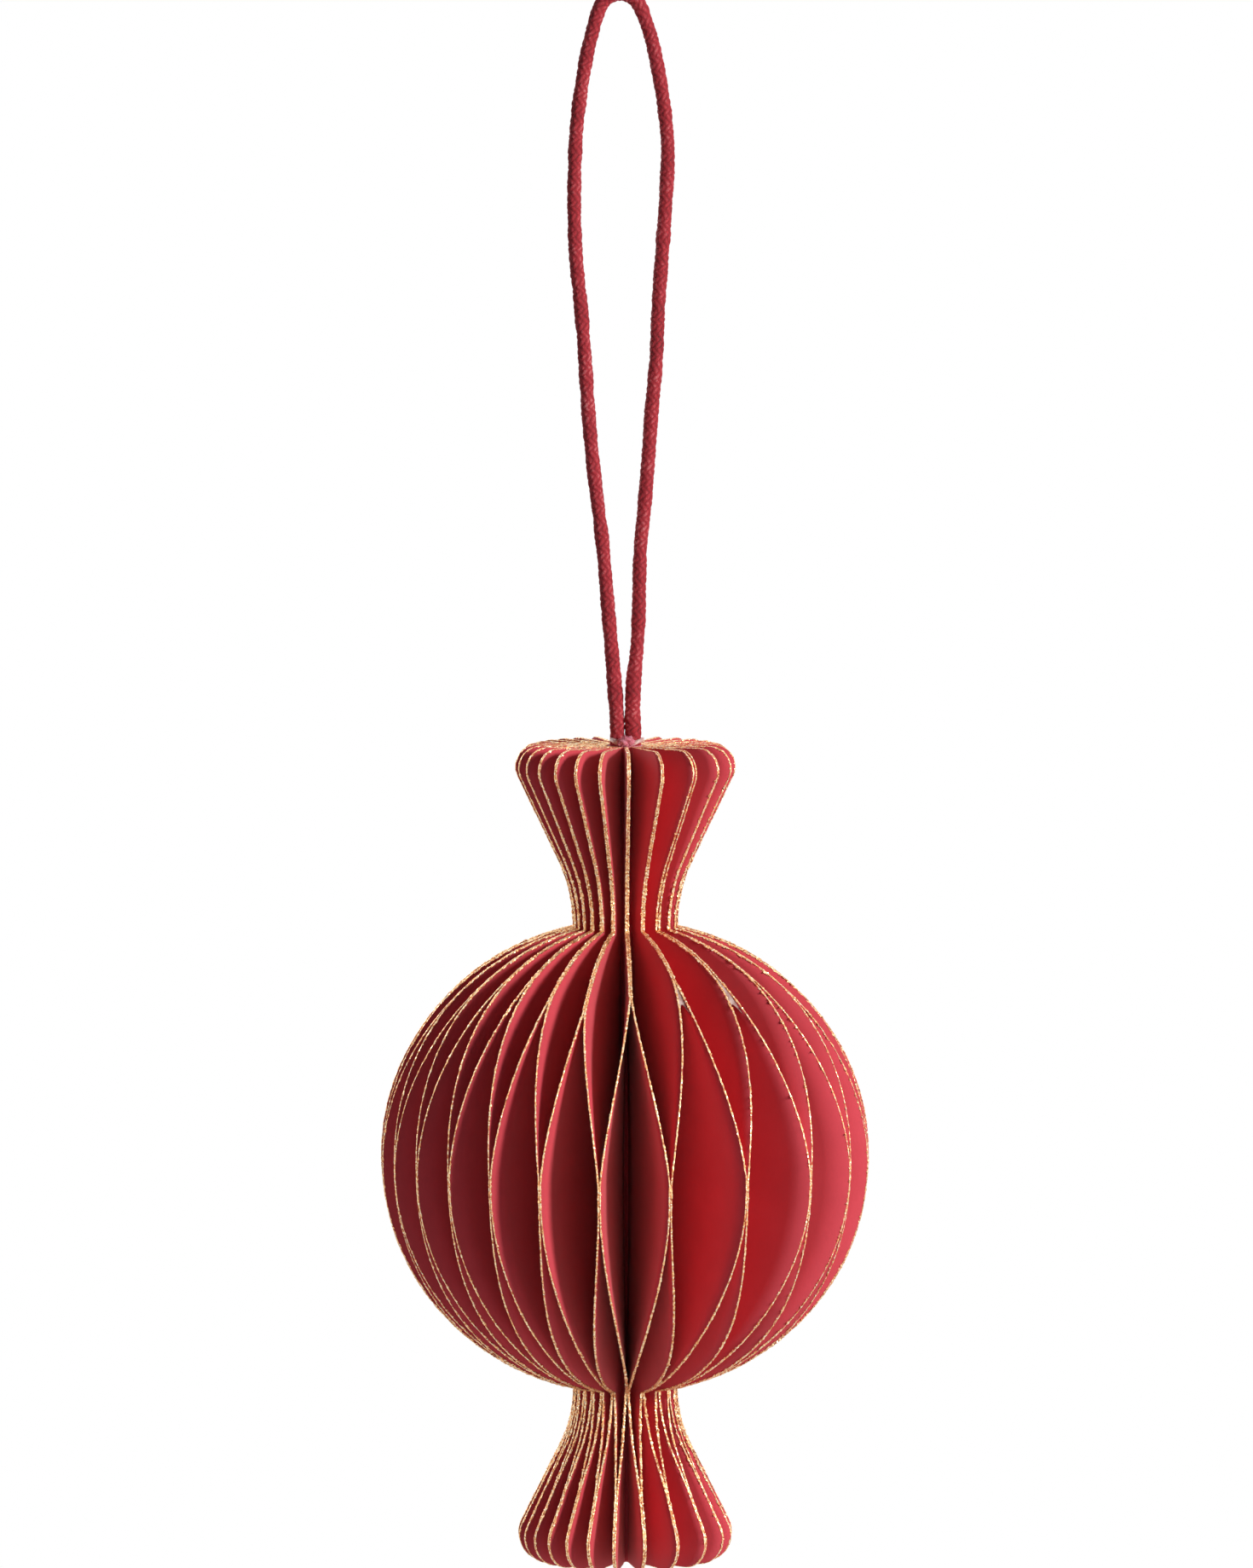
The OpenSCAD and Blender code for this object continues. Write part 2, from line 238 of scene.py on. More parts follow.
# Viscose thread and yarn ends, loosely wound: pink, with fine strands
def pink_viscose():
    material, tree = new_material("pink_viscose_thread")
    place = add(tree, "ShaderNodeTexCoord")
    # the strands of a sewing thread are about 0.12 mm thick
    strand = add(tree, "ShaderNodeTexNoise", Vector=(place, "Object"), Scale=1 / (0.12 * MM),
                 Detail=2)
    stops = ((0.35, srgb("#d64a6a")), (0.65, srgb("#ffb2c2")))
    colour = add(tree, "ShaderNodeValToRGB", stops=stops, in0=(strand, 0))
    bump = add(tree, "ShaderNodeBump", Strength=0.6, Distance=0.04 * MM, Height=(strand, 0))
    thread = add(tree, "ShaderNodeBsdfPrincipled", Base_Color=(colour, 0), Roughness=0.5,
                 Sheen_Weight=0.4, Normal=(bump, 0))
    add(tree, "ShaderNodeOutputMaterial", Surface=(thread, 0))
    return material


# Hot-melt glue: milky and translucent, with a soft wax-like gloss and fine waves
def hot_melt():
    material, tree = new_material("hot_melt_glue")
    place = add(tree, "ShaderNodeTexCoord")
    wave = add(tree, "ShaderNodeTexNoise", Vector=(place, "Object"), Scale=1 / (0.8 * MM), Detail=2)
    stops = ((0.3, srgb("#f0c0b8")), (0.7, srgb("#ffe4dc")))
    colour = add(tree, "ShaderNodeValToRGB", stops=stops, in0=(wave, 0))
    bump = add(tree, "ShaderNodeBump", Strength=0.4, Distance=0.1 * MM, Height=(wave, 0))
    glue = add(tree, "ShaderNodeBsdfPrincipled", Base_Color=(colour, 0), Roughness=0.35,
               Subsurface_Weight=0.6, Subsurface_Scale=0.0005,
               Subsurface_Radius=(1, 0.9, 0.85), Normal=(bump, 0))
    add(tree, "ShaderNodeOutputMaterial", Surface=(glue, 0))
    return material


# Dried craft glue, stretched to a film between two leaves: thin, pale and partly see-through
def glue_film():
    material, tree = new_material("dried_glue_film")
    place = add(tree, "ShaderNodeTexCoord")
    ripple = add(tree, "ShaderNodeTexNoise", Vector=(place, "Object"), Scale=1 / (0.9 * MM),
                 Detail=3)
    bump = add(tree, "ShaderNodeBump", Strength=0.5, Distance=0.1 * MM, Height=(ripple, 0))
    stops = ((0.35, srgb("#cf9890")), (0.65, srgb("#fbe4dc")))
    colour = add(tree, "ShaderNodeValToRGB", stops=stops, in0=(ripple, 0))
    film = add(tree, "ShaderNodeBsdfPrincipled", Base_Color=(colour, 0), Roughness=0.25,
               Alpha=0.75, Normal=(bump, 0))
    add(tree, "ShaderNodeOutputMaterial", Surface=(film, 0))
    return material


# Double-sided tape: a pale foam with fine cells
def tape_foam():
    material, tree = new_material("double_sided_foam_tape")
    place = add(tree, "ShaderNodeTexCoord")
    cells = add(tree, "ShaderNodeTexVoronoi", Vector=(place, "Object"), Scale=1 / (0.3 * MM))
    stops = ((0.0, srgb("#cfc3ae")), (0.6, srgb("#efe6d4")))
    colour = add(tree, "ShaderNodeValToRGB", stops=stops, in0=(cells, 0))
    bump = add(tree, "ShaderNodeBump", Strength=0.3, Distance=0.05 * MM, Height=(cells, 0))
    foam = add(tree, "ShaderNodeBsdfPrincipled", Base_Color=(colour, 0), Roughness=0.7,
               Normal=(bump, 0))
    add(tree, "ShaderNodeOutputMaterial", Surface=(foam, 0))
    return material


EVEN_CARD = dyed_card("dyed_red_card_even", "#f24a5a", "#e4404e")
ODD_CARD = dyed_card("dyed_red_card_odd", "#ee4856", "#e03d4b")
GLITTER = gold_glitter()
COTTON = waxed_cotton()
VISCOSE = pink_viscose()
HOT_MELT = hot_melt()
GLUE_FILM = glue_film()
TAPE = tape_foam()


def finish_piece(name, bm, materials):
    """Turns a bmesh in millimetres into an object of the scene, in metres. Only the faces in its
    first material are smooth, so that the glitter, the second one, keeps its facets."""
    bmesh.ops.scale(bm, vec=(MM, MM, MM), verts=bm.verts)
    mesh = bpy.data.meshes.new(name)
    bm.to_mesh(mesh)
    bm.free()
    for material in materials:
        mesh.materials.append(material)
    for face in mesh.polygons:
        face.use_smooth = face.material_index == 0
    piece = bpy.data.objects.new(name, mesh)
    bpy.context.scene.collection.objects.link(piece)
    return piece


# Vertices closer than this, in millimetres, are merged where a grid closes into a tube
MERGE_DISTANCE = 1e-5


def wrapped_grid(bm, along, around):
    """A grid closed into a tube. Yields each new vertex with its station and its side, and merges
    the two edges that meet once the caller has placed them."""
    made = bmesh.ops.create_grid(bm, x_segments=along, y_segments=around, size=1)["verts"]
    for vert in made:
        yield vert, round((vert.co.x + 1) / 2 * along), round((vert.co.y + 1) / 2 * around)
    bmesh.ops.remove_doubles(bm, verts=made, dist=MERGE_DISTANCE)


# The cord: a round braid of six yarns each way, whose crowns stand a little proud of its size
BRAID_YARNS = 6
BRAID_LEAD = 7.6
BRAID_DEPTH = 0.17
CROWN_PROUD = 0.04
# Power of the sine across a yarn: the lower it is, the fuller the crown
CROWN_POWER = 0.8
# Height of a yarn where it dives under, and how much higher its arch is in the middle
YARN_LOW, YARN_ARCH = 0.55, 0.45
RING_STEP = 0.16
CORD_SIDES = 48
# The braid's unevenness: how far the yarns drift, how far the radius swells in long and in short
# waves, how many such waves there are to a millimetre, and the most that it swells
DRIFT, DRIFT_PER_MM = 0.5, 0.4
SWELL, SWELL_PER_MM = 0.14, 0.35
LUMP, LUMP_PER_MM = 0.05, 2.2
MOST_SWELL = 0.08
# How much the radius of the legs grows near the cap, from which height down and over what run
LEG_SWELL, LEG_SWELL_START, LEG_SWELL_RUN = 0.14, -108, 5
# Fibres in a millimetre across a yarn and along it, how far a yarn runs round for each
# millimetre along, and what sets the fibres of the two ways apart
FIBRES_ACROSS, FIBRES_ALONG = 8, 1.5
YARN_SLANT = 0.8
OTHER_FIBRES = 7.0
# Rings of the mesh from one point of the cord's path to the next
PATH_RINGS = 6


def braid_height(around, along):
    """Height of the braid's surface, 0 in a valley and 1 on a yarn's crown, and which way the
    yarn on top runs. Each yarn passes over two and under two."""
    right = around * BRAID_YARNS + along / BRAID_LEAD * BRAID_YARNS
    left = around * BRAID_YARNS - along / BRAID_LEAD * BRAID_YARNS
    over = (math.floor(right) - math.floor(left)) % 4 < 2
    across = (right if over else left) % 1
    run = ((left if over else right) + (math.floor(right if over else left) % 2)) % 2
    crown = math.sin(math.pi * across) ** CROWN_POWER
    return crown * (YARN_LOW + YARN_ARCH * math.sin(math.pi * run / 2)), over


def make_cord():
    """The braided cord, the line that it runs along and its length."""
    line = smooth_route(CORD_ROUTE, RING_STEP)
    last = len(line) - 1
    bm = bmesh.new()
    height_layer = bm.verts.layers.float.new("braid_height")
    place_layer = bm.verts.layers.float_vector.new("yarn_place")
    frames, length = [], 0
    for k, point in enumerate(line):
        ahead = (line[min(k + 1, last)] - line[max(k - 1, 0)]).normalized()
        side = (Vector((0, 1, 0)) - ahead * ahead.y).normalized()
        frames.append((point, side, ahead.cross(side), length))
        if k < last:
            length += (line[k + 1] - point).length
    for vert, station, side_no in wrapped_grid(bm, last, CORD_SIDES):
        point, side, up, along = frames[station]
        around = side_no % CORD_SIDES / CORD_SIDES
        height, over = braid_height(around, along + DRIFT * noise.noise(point * DRIFT_PER_MM))
        swell = noise.noise(point * SWELL_PER_MM) * SWELL + noise.noise(point * LUMP_PER_MM) * LUMP
        leg_swell = LEG_SWELL * min(max((LEG_SWELL_START - point.z) / LEG_SWELL_RUN, 0), 1)
        valley = BRAID_DEPTH * (1 - height)
        radius = CORD_D / 2 + CROWN_PROUD + min(swell, MOST_SWELL) - valley + leg_swell
        turn = 2 * math.pi * around
        vert.co = point + (side * math.cos(turn) + up * math.sin(turn)) * radius
        # the stored height also paints shade into the braid's valleys and a highlight onto its
        # crowns
        vert[height_layer] = height
        way = 1 if over else -1
        lean = around * math.pi * CORD_D * way
        vert[place_layer] = (FIBRES_ACROSS * (around * math.pi * CORD_D - way * along * YARN_SLANT),
                             FIBRES_ALONG * (along + lean), OTHER_FIBRES if over else 0.0)
    bmesh.ops.holes_fill(bm, edges=[e for e in bm.edges if e.is_boundary])
    bmesh.ops.recalc_face_normals(bm, faces=bm.faces)
    piece = finish_piece("braided_cord", bm, [COTTON])
    return piece, line, length


cord, cord_line, cord_length = make_cord()
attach(cord, "core")
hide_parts("hanging_cord")
path = [tuple(p * MM) for p in cord_line[::PATH_RINGS]]
if path[-1] != tuple(cord_line[-1] * MM):
    path.append(tuple(cord_line[-1] * MM))


# Hot glue squeezed out round the feet of the cord: half sizes of the blob, how far it reaches to
# the left and right, and where it sits. Both wings rise, and the left one comes forward.
COLLAR_X, COLLAR_Y, COLLAR_Z = 2.8, 1.8, 0.75
COLLAR_LEFT, COLLAR_RIGHT = -2.7, 3.1
COLLAR_SHIFT, COLLAR_RISE, WING_RISE = 0.3, 0.1, 0.85
# Its lumps, broad and fine: their height as a share of its size, and how close they lie
BROAD_LUMP, BROAD_LUMPS = 0.14, 2.3
FINE_LUMP, FINE_LUMPS = 0.04, 6


def make_collar():
    bm = bmesh.new()
    made = bmesh.ops.create_icosphere(bm, subdivisions=6, radius=1)["verts"]
    for vert in made:
        lump = noise.noise(vert.co * BROAD_LUMPS) * BROAD_LUMP
        lump = lump + noise.noise(vert.co * FINE_LUMPS) * FINE_LUMP
        wing = vert.co.x * vert.co.x
        blob = Vector((vert.co.x * COLLAR_X, vert.co.y * COLLAR_Y - max(-vert.co.x, 0),
                       vert.co.z * COLLAR_Z))
        vert.co = blob * (1 + lump)
        vert.co.x = max(min(vert.co.x + COLLAR_SHIFT, COLLAR_RIGHT), COLLAR_LEFT)
        vert.co.z += CAP_TOP + COLLAR_RISE + WING_RISE * wing
    bmesh.ops.recalc_face_normals(bm, faces=bm.faces)
    collar = finish_piece("glue_collar", bm, [HOT_MELT])
    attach(collar, "core")


# Frayed end of the binding thread, a soft tuft in front of the legs: half sizes of its core, and
# where its middle lies from the axis and above the cap
TUFT_X, TUFT_Y, TUFT_Z = 1.2, 0.7, 0.9
TUFT_RIGHT, TUFT_FRONT, TUFT_RISE = 0.15, 2.2, 0.5
# Its fluff, broad and fine: how high it stands as a share of its size, and how close it lies
BROAD_FLUFF, BROAD_FLUFFS = 0.55, 2
FINE_FLUFF, FINE_FLUFFS = 0.2, 9
# Loose strands: how many, their radius at root and tip, their length with the most that is added,
# and how far out their middles lie, as a share of the tuft
STRANDS = 160
STRAND_ROOT, STRAND_TIP = 0.05, 0.02
STRAND_LENGTH, STRAND_MORE = 0.5, 0.5
STRAND_OUT, STRAND_FURTHER = 0.8, 0.35
STRAND_REACH_X = 1.15
# They lean forwards, and spread less to the front and back and a little less up and down than
# sideways
FORWARD_LEAN, SPREAD_Y, SPREAD_Z = 0.4, 0.7, 0.9
TUFT_SEED = 7


def make_tuft():
    bm = bmesh.new()
    draw = random.Random(TUFT_SEED)
    made = bmesh.ops.create_icosphere(bm, subdivisions=5, radius=1)["verts"]
    for vert in made:
        fluff = noise.noise(vert.co * BROAD_FLUFFS) * BROAD_FLUFF
        fluff = fluff + noise.noise(vert.co * FINE_FLUFFS) * FINE_FLUFF
        core = Vector((vert.co.x * TUFT_X, vert.co.y * TUFT_Y, vert.co.z * TUFT_Z))
        vert.co = core * (1 + fluff)
    for _ in range(STRANDS):
        way = Vector((draw.gauss(0, 1), draw.gauss(0, SPREAD_Y) - FORWARD_LEAN,
                      draw.gauss(0, SPREAD_Z))).normalized()
        strand = bmesh.ops.create_cone(bm, segments=5, radius1=STRAND_ROOT, radius2=STRAND_TIP,
                                       cap_ends=True,
                                       depth=STRAND_LENGTH + STRAND_MORE * draw.random())["verts"]
        tilt = way.to_track_quat("Z", "Y").to_matrix()
        middle = Vector((way.x * STRAND_REACH_X, way.y * TUFT_Y, way.z * TUFT_Z))
        middle = middle * (STRAND_OUT + STRAND_FURTHER * draw.random())
        bmesh.ops.rotate(bm, matrix=tilt, verts=strand)
        bmesh.ops.translate(bm, vec=middle, verts=strand)
    bmesh.ops.translate(bm, vec=(TUFT_RIGHT, -TUFT_FRONT, CAP_TOP + TUFT_RISE), verts=bm.verts)
    bmesh.ops.recalc_face_normals(bm, faces=bm.faces)
    tuft = finish_piece("frayed_thread_tuft", bm, [VISCOSE])
    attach(tuft, "core")


make_collar()
make_tuft()


# The leaves
def from_seam(i):
    """How many leaves away from the seam's widest leaf."""
    return min(abs(i - SEAM_PEAK), abs(i + LEAVES - SEAM_PEAK))


slacks = [1 + SEAM_RATIO * math.exp(-(from_seam(i) / SEAM_LEAVES) ** 2)
          + SIDE_RATIO * math.cos(math.radians(360 * i / LEAVES - SIDE_TURN))
          for i in range(LEAVES)]
PITCH = [360 * s / sum(slacks) for s in slacks]
LINE_ANGLE = [SEAM_ANGLE]
for step in PITCH:
    LINE_ANGLE.append(LINE_ANGLE[-1] + step)
LEAF_PACK = (CARD + GLUE) / 2


def near_spot(past, reach, bow):
    """1 at a glue spot, falling to 0 as a leaf gets a whole reach past it."""
    return 1 - min(max(past / reach, 0), 1) ** bow


LOWER_JOIN = BALL_BOTTOM + EVEN_RISE
SPOT_TOP = BALL_MID - EQUATOR_DROP + EQUATOR_SPOT
SPOT_BOTTOM = BALL_MID - EQUATOR_DROP - EQUATOR_SPOT
RIM_SPOT = FOOT_BOTTOM + FOOT_SPOT


def upper_split(i):
    """Height where the glue of leaf i's even line ends on the ball."""
    sway = math.cos(math.radians(SWAY_TURN * (i + i % 2) - SWAY_START))
    return BALL_TOP - EVEN_REACH - REACH_SWAY * sway


def to_odd(i, z):
    """Share of the way from the leaf's even line to its odd line, at a height."""
    if z > SPOT_BOTTOM:
        return near_spot(z - SPOT_TOP, upper_split(i) - SPOT_TOP, UPPER_BOW)
    if z > LOWER_JOIN:
        return near_spot(SPOT_BOTTOM - z, SPOT_BOTTOM - LOWER_JOIN, LOWER_BOW)
    return near_spot(z - RIM_SPOT, LOWER_JOIN - RIM_SPOT, FOOT_BOW)


def swing(i, x, z):
    """Where a leaf's middle lies beside its mid-plane."""
    side = 2 * to_odd(i, z) - 1 if i % 2 == 0 else 1 - 2 * to_odd(i, z)
    half = math.radians(PITCH[i] / 2)
    at_seam = (i == 0 and side < 0) or (i == LEAVES - 1 and side > 0)
    gap = (CARD + SEAM_GAP) / 2 if at_seam else LEAF_PACK
    return side * max(x * math.tan(half) - gap / math.cos(half), 0)


# Steps of the outline: in each bend of a flared end, in its straight flank and on the ball
BEND_STEPS = 12
FLANK_STEPS = 9
BALL_STEPS = 72


def flare(h, wide, round_r, sweep):
    """Outline of a flared end as (radius, distance from the ball), from the neck outwards."""
    across, along = NECK_R + sweep - wide + round_r, h - round_r
    tilt = math.atan2(along, across) - math.acos((sweep + round_r) / math.hypot(across, along))
    points = []
    for k in range(BEND_STEPS + 1):
        a = tilt * k / BEND_STEPS
        points.append((NECK_R + sweep * (1 - math.cos(a)), sweep * math.sin(a)))
    low = points[-1]
    high = (wide - round_r * (1 - math.cos(tilt)), h - round_r - round_r * math.sin(tilt))
    for k in range(1, FLANK_STEPS):
        points.append(tuple(low[n] + (high[n] - low[n]) * k / FLANK_STEPS for n in (0, 1)))
    for k in range(BEND_STEPS + 1):
        a = -tilt + (math.pi / 2 + tilt) * k / BEND_STEPS
        points.append((wide - round_r * (1 - math.cos(a)), h - round_r + round_r * math.sin(a)))
    return points


def whole_outline():
    """The cut edge as (radius, height): the outline with the two flat ends."""
    neck_turn = math.asin(NECK_R / BALL_R)
    points = [(SPINE_R, CAP_TOP - CAP_DISH)]
    points += [(r, BALL_TOP + h) for r, h in reversed(flare(CAP_H, CAP_R, CAP_ROUND, CAP_SWEEP))]
    for k in range(1, BALL_STEPS):
        a = neck_turn + (math.pi - 2 * neck_turn) * k / BALL_STEPS
        points.append((BALL_R * math.sin(a), BALL_MID + BALL_HALF_H * math.cos(a)))
    points += [(r, BALL_BOTTOM - h) for r, h in flare(FOOT_H, FOOT_R, FOOT_ROUND, FOOT_SWEEP)]
    return points + [(SPINE_R, FOOT_BOTTOM)]


OUTLINE = whole_outline()
RADIAL_STEPS = 8
# Glue along the spine: its width, and how far it ends below the top of the inner edge
SPINE_GLUE = 0.7
SPINE_GLUE_DROP = 0.05
# The bead of glitter: its step along the edge and the corners of its section
BEAD_STEP = 0.25
BEAD_SIDES = 6
# How far the glitter laps onto the card and stands proud of its edge, and half its width
BEAD_LAP = 0.14
BEAD_PROUD = 0.08
BEAD_HALF = 0.16
# How far it keeps from the plane halfway to the next leaf, and its least size as a share
BEAD_ROOM = 0.01
LEAST_BEAD = 0.45
# Its grain: how much it changes the size, and what its fine and its coarse part add
GRAIN_SHARE, FINE_GRAIN, COARSE_GRAIN = 0.8, 0.9, 0.5
# Fine grains in a millimetre, and coarse grains in the length of a fine one
GRAINS_PER_MM, COARSE_PER_FINE = 3.1, 0.23
# What sets the grain of one leaf, and of one corner of the section, apart from the next, and
# where the first corner's starts
LEAF_GRAIN, CORNER_GRAIN, FIRST_GRAIN = 17.3, 5.7, 0.5
# A few crumbs stick up: how large the largest is, and how rare large ones are
CRUMB_SIZE, CRUMB_RARITY = 0.8, 9
# Thickness of the glitter on the rims, what the necks add, and how far that spreads from each
RIM_GLITTER, NECK_GLITTER = 0.8, 0.45
UPPER_SPREAD, LOWER_SPREAD = 13, 16


def even_steps(points, step):
    """(radius, height, outward direction) along a broken line, evenly spaced."""
    marks = [0]
    for a, b in zip(points, points[1:]):
        marks.append(marks[-1] + math.dist(a, b))
    count = round(marks[-1] / step)
    made, k = [], 0
    for n in range(count + 1):
        at = marks[-1] * n / count
        while k < len(marks) - 2 and marks[k + 1] < at:
            k += 1
        a, b = points[k], points[k + 1]
        t = (at - marks[k]) / (marks[k + 1] - marks[k])
        along = Vector((b[0] - a[0], b[1] - a[1])).normalized()
        made.append((a[0] + (b[0] - a[0]) * t, a[1] + (b[1] - a[1]) * t,
                     Vector((-along.y, along.x))))
    return made


BEAD_LINE = even_steps(OUTLINE, BEAD_STEP)


def coarseness(z):
    """How thick the glitter lies at a height: thickest at the two necks, thin on the rims."""
    near_upper = math.exp(-((z - BALL_TOP) / UPPER_SPREAD) ** 2)
    near_lower = math.exp(-((z - BALL_BOTTOM) / LOWER_SPREAD) ** 2)
    return RIM_GLITTER + NECK_GLITTER * (near_upper + near_lower)


def inner_z(z):
    """Height on the inner edge for a height on the outline, a little lower under the dish."""
    return FOOT_BOTTOM + (z - FOOT_BOTTOM) * (1 - CAP_DISH / (CAP_TOP - FOOT_BOTTOM))


def middle_turn(i):
    """Turn about the spine from +X, where a leaf is drawn, to the middle of leaf i."""
    return Matrix.Rotation(math.radians(LINE_ANGLE[i] + PITCH[i] / 2 - 90), 3, "Z")


def add_card(bm, i):
    """The card of a leaf, bent as the leaf swings."""
    stations = OUTLINE[1:-1]
    grid = bmesh.ops.create_grid(bm, x_segments=RADIAL_STEPS, y_segments=len(stations) - 1, size=1)
    for vert in grid["verts"]:
        out = (vert.co.x + 1) / 2
        r, z = stations[round((vert.co.y + 1) / 2 * (len(stations) - 1))]
        x = SPINE_R + (r - SPINE_R) * out
        vert.co = (x, swing(i, x, z) - CARD / 2, inner_z(z) + (z - inner_z(z)) * out)
    far = bmesh.ops.extrude_face_region(bm, geom=bm.faces[:], use_keep_orig=True)["geom"]
    far_verts = [v for v in far if isinstance(v, bmesh.types.BMVert)]
    bmesh.ops.translate(bm, vec=(0, CARD, 0), verts=far_verts)
    bmesh.ops.recalc_face_normals(bm, faces=bm.faces)


def add_spine_glue(bm, i):
    """Glue along the spine, which fills the gap to the next leaf's inner edge."""
    spine = bmesh.ops.create_cube(bm, size=1)["verts"]
    top = inner_z(CAP_TOP) - SPINE_GLUE_DROP
    wide = 2 * SPINE_R * math.tan(math.radians(PITCH[i] / 2))
    bmesh.ops.scale(bm, vec=(SPINE_GLUE, wide, top - FOOT_BOTTOM), verts=spine)
    bmesh.ops.translate(bm, vec=(SPINE_R + SPINE_GLUE / 4, 0, (top + FOOT_BOTTOM) / 2), verts=spine)


def add_bead(bm, i):
    """The bead of glitter on the cut edge, in the second material."""
    card_faces = set(bm.faces)
    draw = random.Random(i)
    crumbs = [CRUMB_SIZE * draw.random() ** CRUMB_RARITY for _ in BEAD_LINE]
    half = math.radians(PITCH[i] / 2)
    for vert, station, side_no in wrapped_grid(bm, len(BEAD_LINE) - 1, BEAD_SIDES):
        r, z, out = BEAD_LINE[station]
        corner = side_no % BEAD_SIDES
        middle = swing(i, r, z)
        turn = 2 * math.pi * corner / BEAD_SIDES
        seed = Vector((r * GRAINS_PER_MM + i * LEAF_GRAIN, z * GRAINS_PER_MM,
                       corner * CORNER_GRAIN + FIRST_GRAIN))
        fine = noise.noise(seed) * FINE_GRAIN
        grain = fine + noise.noise(seed * COARSE_PER_FINE) * COARSE_GRAIN
        size = coarseness(z) * max(1 + GRAIN_SHARE * grain + crumbs[station], LEAST_BEAD)
        depth = math.cos(turn) * (BEAD_LAP + BEAD_PROUD) / 2
        depth = depth * size + (BEAD_PROUD - BEAD_LAP) / 2
        sideways = math.sin(turn) * BEAD_HALF * size
        # a bead stays on its own side of the plane where it meets the next leaf
        room = r * math.tan(half) - abs(middle) - BEAD_ROOM
        if sideways * middle > 0:
            sideways = math.copysign(min(abs(sideways), max(room, CARD / 2)), sideways)
        vert.co = (r + out.x * depth, middle + sideways, z + out.y * depth)
    bmesh.ops.holes_fill(bm, edges=[e for e in bm.edges if e.is_boundary])
    bead_faces = [f for f in bm.faces if f not in card_faces]
    bmesh.ops.recalc_face_normals(bm, faces=bead_faces)
    for face in bead_faces:
        face.material_index = 1


def make_leaf(i):
    """One leaf of card with its glue at the spine and the glitter on its cut edge."""
    bm = bmesh.new()
    add_card(bm, i)
    add_spine_glue(bm, i)
    add_bead(bm, i)
    bmesh.ops.rotate(bm, matrix=middle_turn(i), verts=bm.verts)
    number = f"{i + 1:02d}"
    card = EVEN_CARD if i % 2 == 0 else ODD_CARD
    piece = finish_piece(f"card_leaf_{number}", bm, [card, GLITTER])
    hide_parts(f"leaf_{number}")
    bend(piece, i)


def line_body(k):
    """Name of the body that glue line k moves with."""
    return "core" if k == LEAVES // 2 else f"line_{k:02d}"


def bend(piece, i):
    """Bakes the place of a piece on leaf i into its mesh and works out each vertex's share of the
    way between its two glue lines. A leaf runs from one line to the other and back more than once,
    so the shares come from its own glue spots. The shares are not kept, and the piece is not bent."""
    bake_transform(piece)
    for vert in piece.data.vertices:
        share = to_odd(i, vert.co.z / MM)


def on_leaf(i, r, z, beside):
    """A point beside the middle of leaf i, in the part's own frame."""
    return middle_turn(i) @ Vector((r, swing(i, r, z) + beside, z))


# Webs of glue: their thickness and their steps along and across
FILM = 0.03
FILM_STEPS, FILM_STEPS_ACROSS = 12, 8
# How far they lie inside the leaves' edges where they start, and how much further at their end
FILM_INSET, FILM_INSET_MORE = 0.15, 0.6
# Share of their length that they have in the middle, and how much more at the two leaves
FILM_MIDDLE, FILM_SIDES = 0.7, 0.3


def make_film(name, k, start, end):
    """A web of glue between the leaves on both sides of an even line, where they part. It runs
    from the end of the glued stretch towards its own free edge."""
    bm = bmesh.new()
    grid = bmesh.ops.create_grid(bm, x_segments=FILM_STEPS, y_segments=FILM_STEPS_ACROSS, size=1)
    for vert in grid["verts"]:
        along, across = (vert.co.x + 1) / 2, (vert.co.y + 1) / 2
        reach = FILM_MIDDLE + FILM_SIDES * (2 * across - 1) ** 2
        z = start + (end - start) * along * reach
        edge = BALL_R * math.sqrt(max(1 - ((z - BALL_MID) / BALL_HALF_H) ** 2, 0))
        r = edge - FILM_INSET - FILM_INSET_MORE * along * along
        left = on_leaf((k - 1) % LEAVES, r, z, CARD / 2)
        right = on_leaf(k % LEAVES, r, z, -CARD / 2)
        vert.co = left.lerp(right, across)
    bmesh.ops.solidify(bm, geom=bm.faces[:], thickness=FILM)
    bmesh.ops.recalc_face_normals(bm, faces=bm.faces)
    film = finish_piece(name, bm, [GLUE_FILM])
    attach(film, line_body(k))


for i in range(LEAVES):
    make_leaf(i)

# Lengths of the webs, on the lines of the same numbers
UPPER_FILM_50, UPPER_FILM_00, LOWER_FILM_50 = 5, 5.6, 2.5
make_film("glue_film_upper_50", 50, upper_split(50), upper_split(50) - UPPER_FILM_50)
make_film("glue_film_upper_00", 0, upper_split(0), upper_split(0) - UPPER_FILM_00)
make_film("glue_film_lower_50", 50, LOWER_JOIN, LOWER_JOIN + LOWER_FILM_50)

# CAD nodes that stay take their real material
for node, material in (("seam_pad_upper", TAPE), ("seam_pad_lower", TAPE),
                       ("binding_thread", VISCOSE), ("glue_plug", HOT_MELT)):
    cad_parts[node].data.materials.clear()
    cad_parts[node].data.materials.append(material)


# Floor, in millimetres, white surroundings and lamps
FLOOR_R, FLOOR_Z = 880, -420
# Share of plain white in the floor that the camera sees, the rest being its shaded paint
FLOOR_WHITE = 0.8
# Strength of the white surroundings where neither the camera nor a gloss or glass sees them
FILL_LIGHT = 0.025


def looked_at(tree):
    """1 for the rays of the camera, a gloss or glass, which see white, and 0 for the others."""
    ray = add(tree, "ShaderNodeLightPath")
    seen = (ray, "Is Camera Ray")
    for kind in ("Is Glossy Ray", "Is Transmission Ray"):
        seen = (add(tree, "ShaderNodeMath", {"operation": "MAXIMUM"}, in0=seen, in1=(ray, kind)), 0)
    return seen


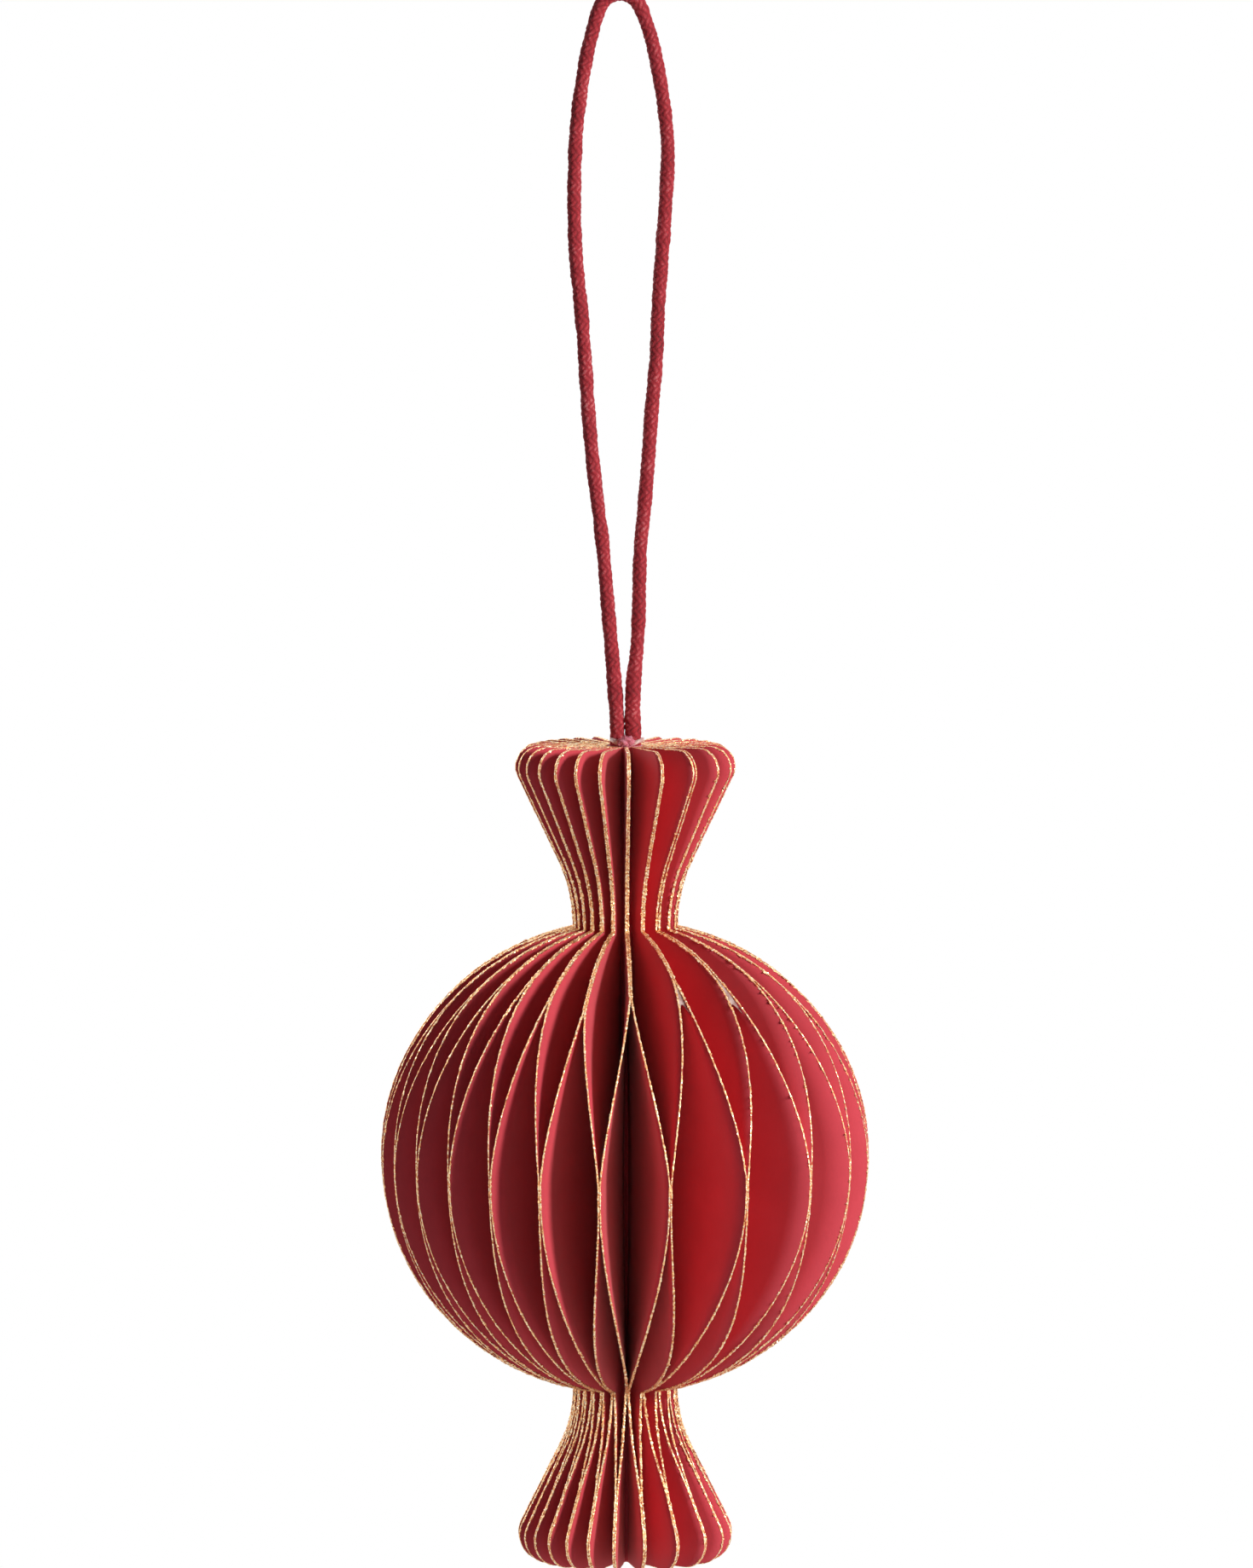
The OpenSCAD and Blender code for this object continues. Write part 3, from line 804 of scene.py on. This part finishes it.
floor_bm = bmesh.new()
bmesh.ops.create_circle(floor_bm, cap_ends=True, segments=128, radius=FLOOR_R)
bmesh.ops.translate(floor_bm, vec=(0, 0, FLOOR_Z), verts=floor_bm.verts)
floor_paint, floor_tree = new_material("pale_floor")
matt = add(floor_tree, "ShaderNodeBsdfDiffuse", Color=srgb("#f2f2f2"))
share = add(floor_tree, "ShaderNodeMath", {"operation": "MULTIPLY"},
            in0=looked_at(floor_tree), in1=FLOOR_WHITE)
white = add(floor_tree, "ShaderNodeEmission", Color=(1, 1, 1, 1), Strength=1)
floor_shader = add(floor_tree, "ShaderNodeMixShader",
                   in0=(share, 0), in1=(matt, 0), in2=(white, 0))
add(floor_tree, "ShaderNodeOutputMaterial", Surface=(floor_shader, 0))
floor = finish_piece("floor", floor_bm, [floor_paint])

world = bpy.data.worlds.new("studio")
bpy.context.scene.world = world
world.use_nodes = True
world.node_tree.nodes.clear()
dim = add(world.node_tree, "ShaderNodeMapRange", Value=looked_at(world.node_tree),
          To_Min=FILL_LIGHT, To_Max=1.0)
sky = add(world.node_tree, "ShaderNodeBackground", Color=(1, 1, 1, 1), Strength=(dim, 0))
add(world.node_tree, "ShaderNodeOutputWorld", Surface=(sky, 0))


def softbox(name, azimuth, elevation, distance, size, power):
    """A square lamp that faces the lantern's middle, in degrees, metres and watts. Azimuth 0 is
    the front and 90 the right."""
    lamp = bpy.data.lights.new(name, "AREA")
    lamp.shape, lamp.size, lamp.energy = "SQUARE", size, power
    holder = bpy.data.objects.new(name, lamp)
    bpy.context.scene.collection.objects.link(holder)
    a, e = math.radians(azimuth), math.radians(elevation)
    aim = Vector((0, 0, BALL_MID * MM))
    away = Vector((math.sin(a) * math.cos(e), -math.cos(a) * math.cos(e), math.sin(e)))
    holder.location = aim + away * distance
    holder.rotation_mode = "QUATERNION"
    holder.rotation_quaternion = (-away).to_track_quat("-Z", "Y")


softbox("key_softbox", azimuth=51, elevation=20, distance=1.4, size=0.3, power=14.2)
softbox("rim_softbox", azimuth=-145, elevation=20, distance=1.4, size=0.6, power=6)

bpy.context.scene.view_settings.view_transform = "Standard"
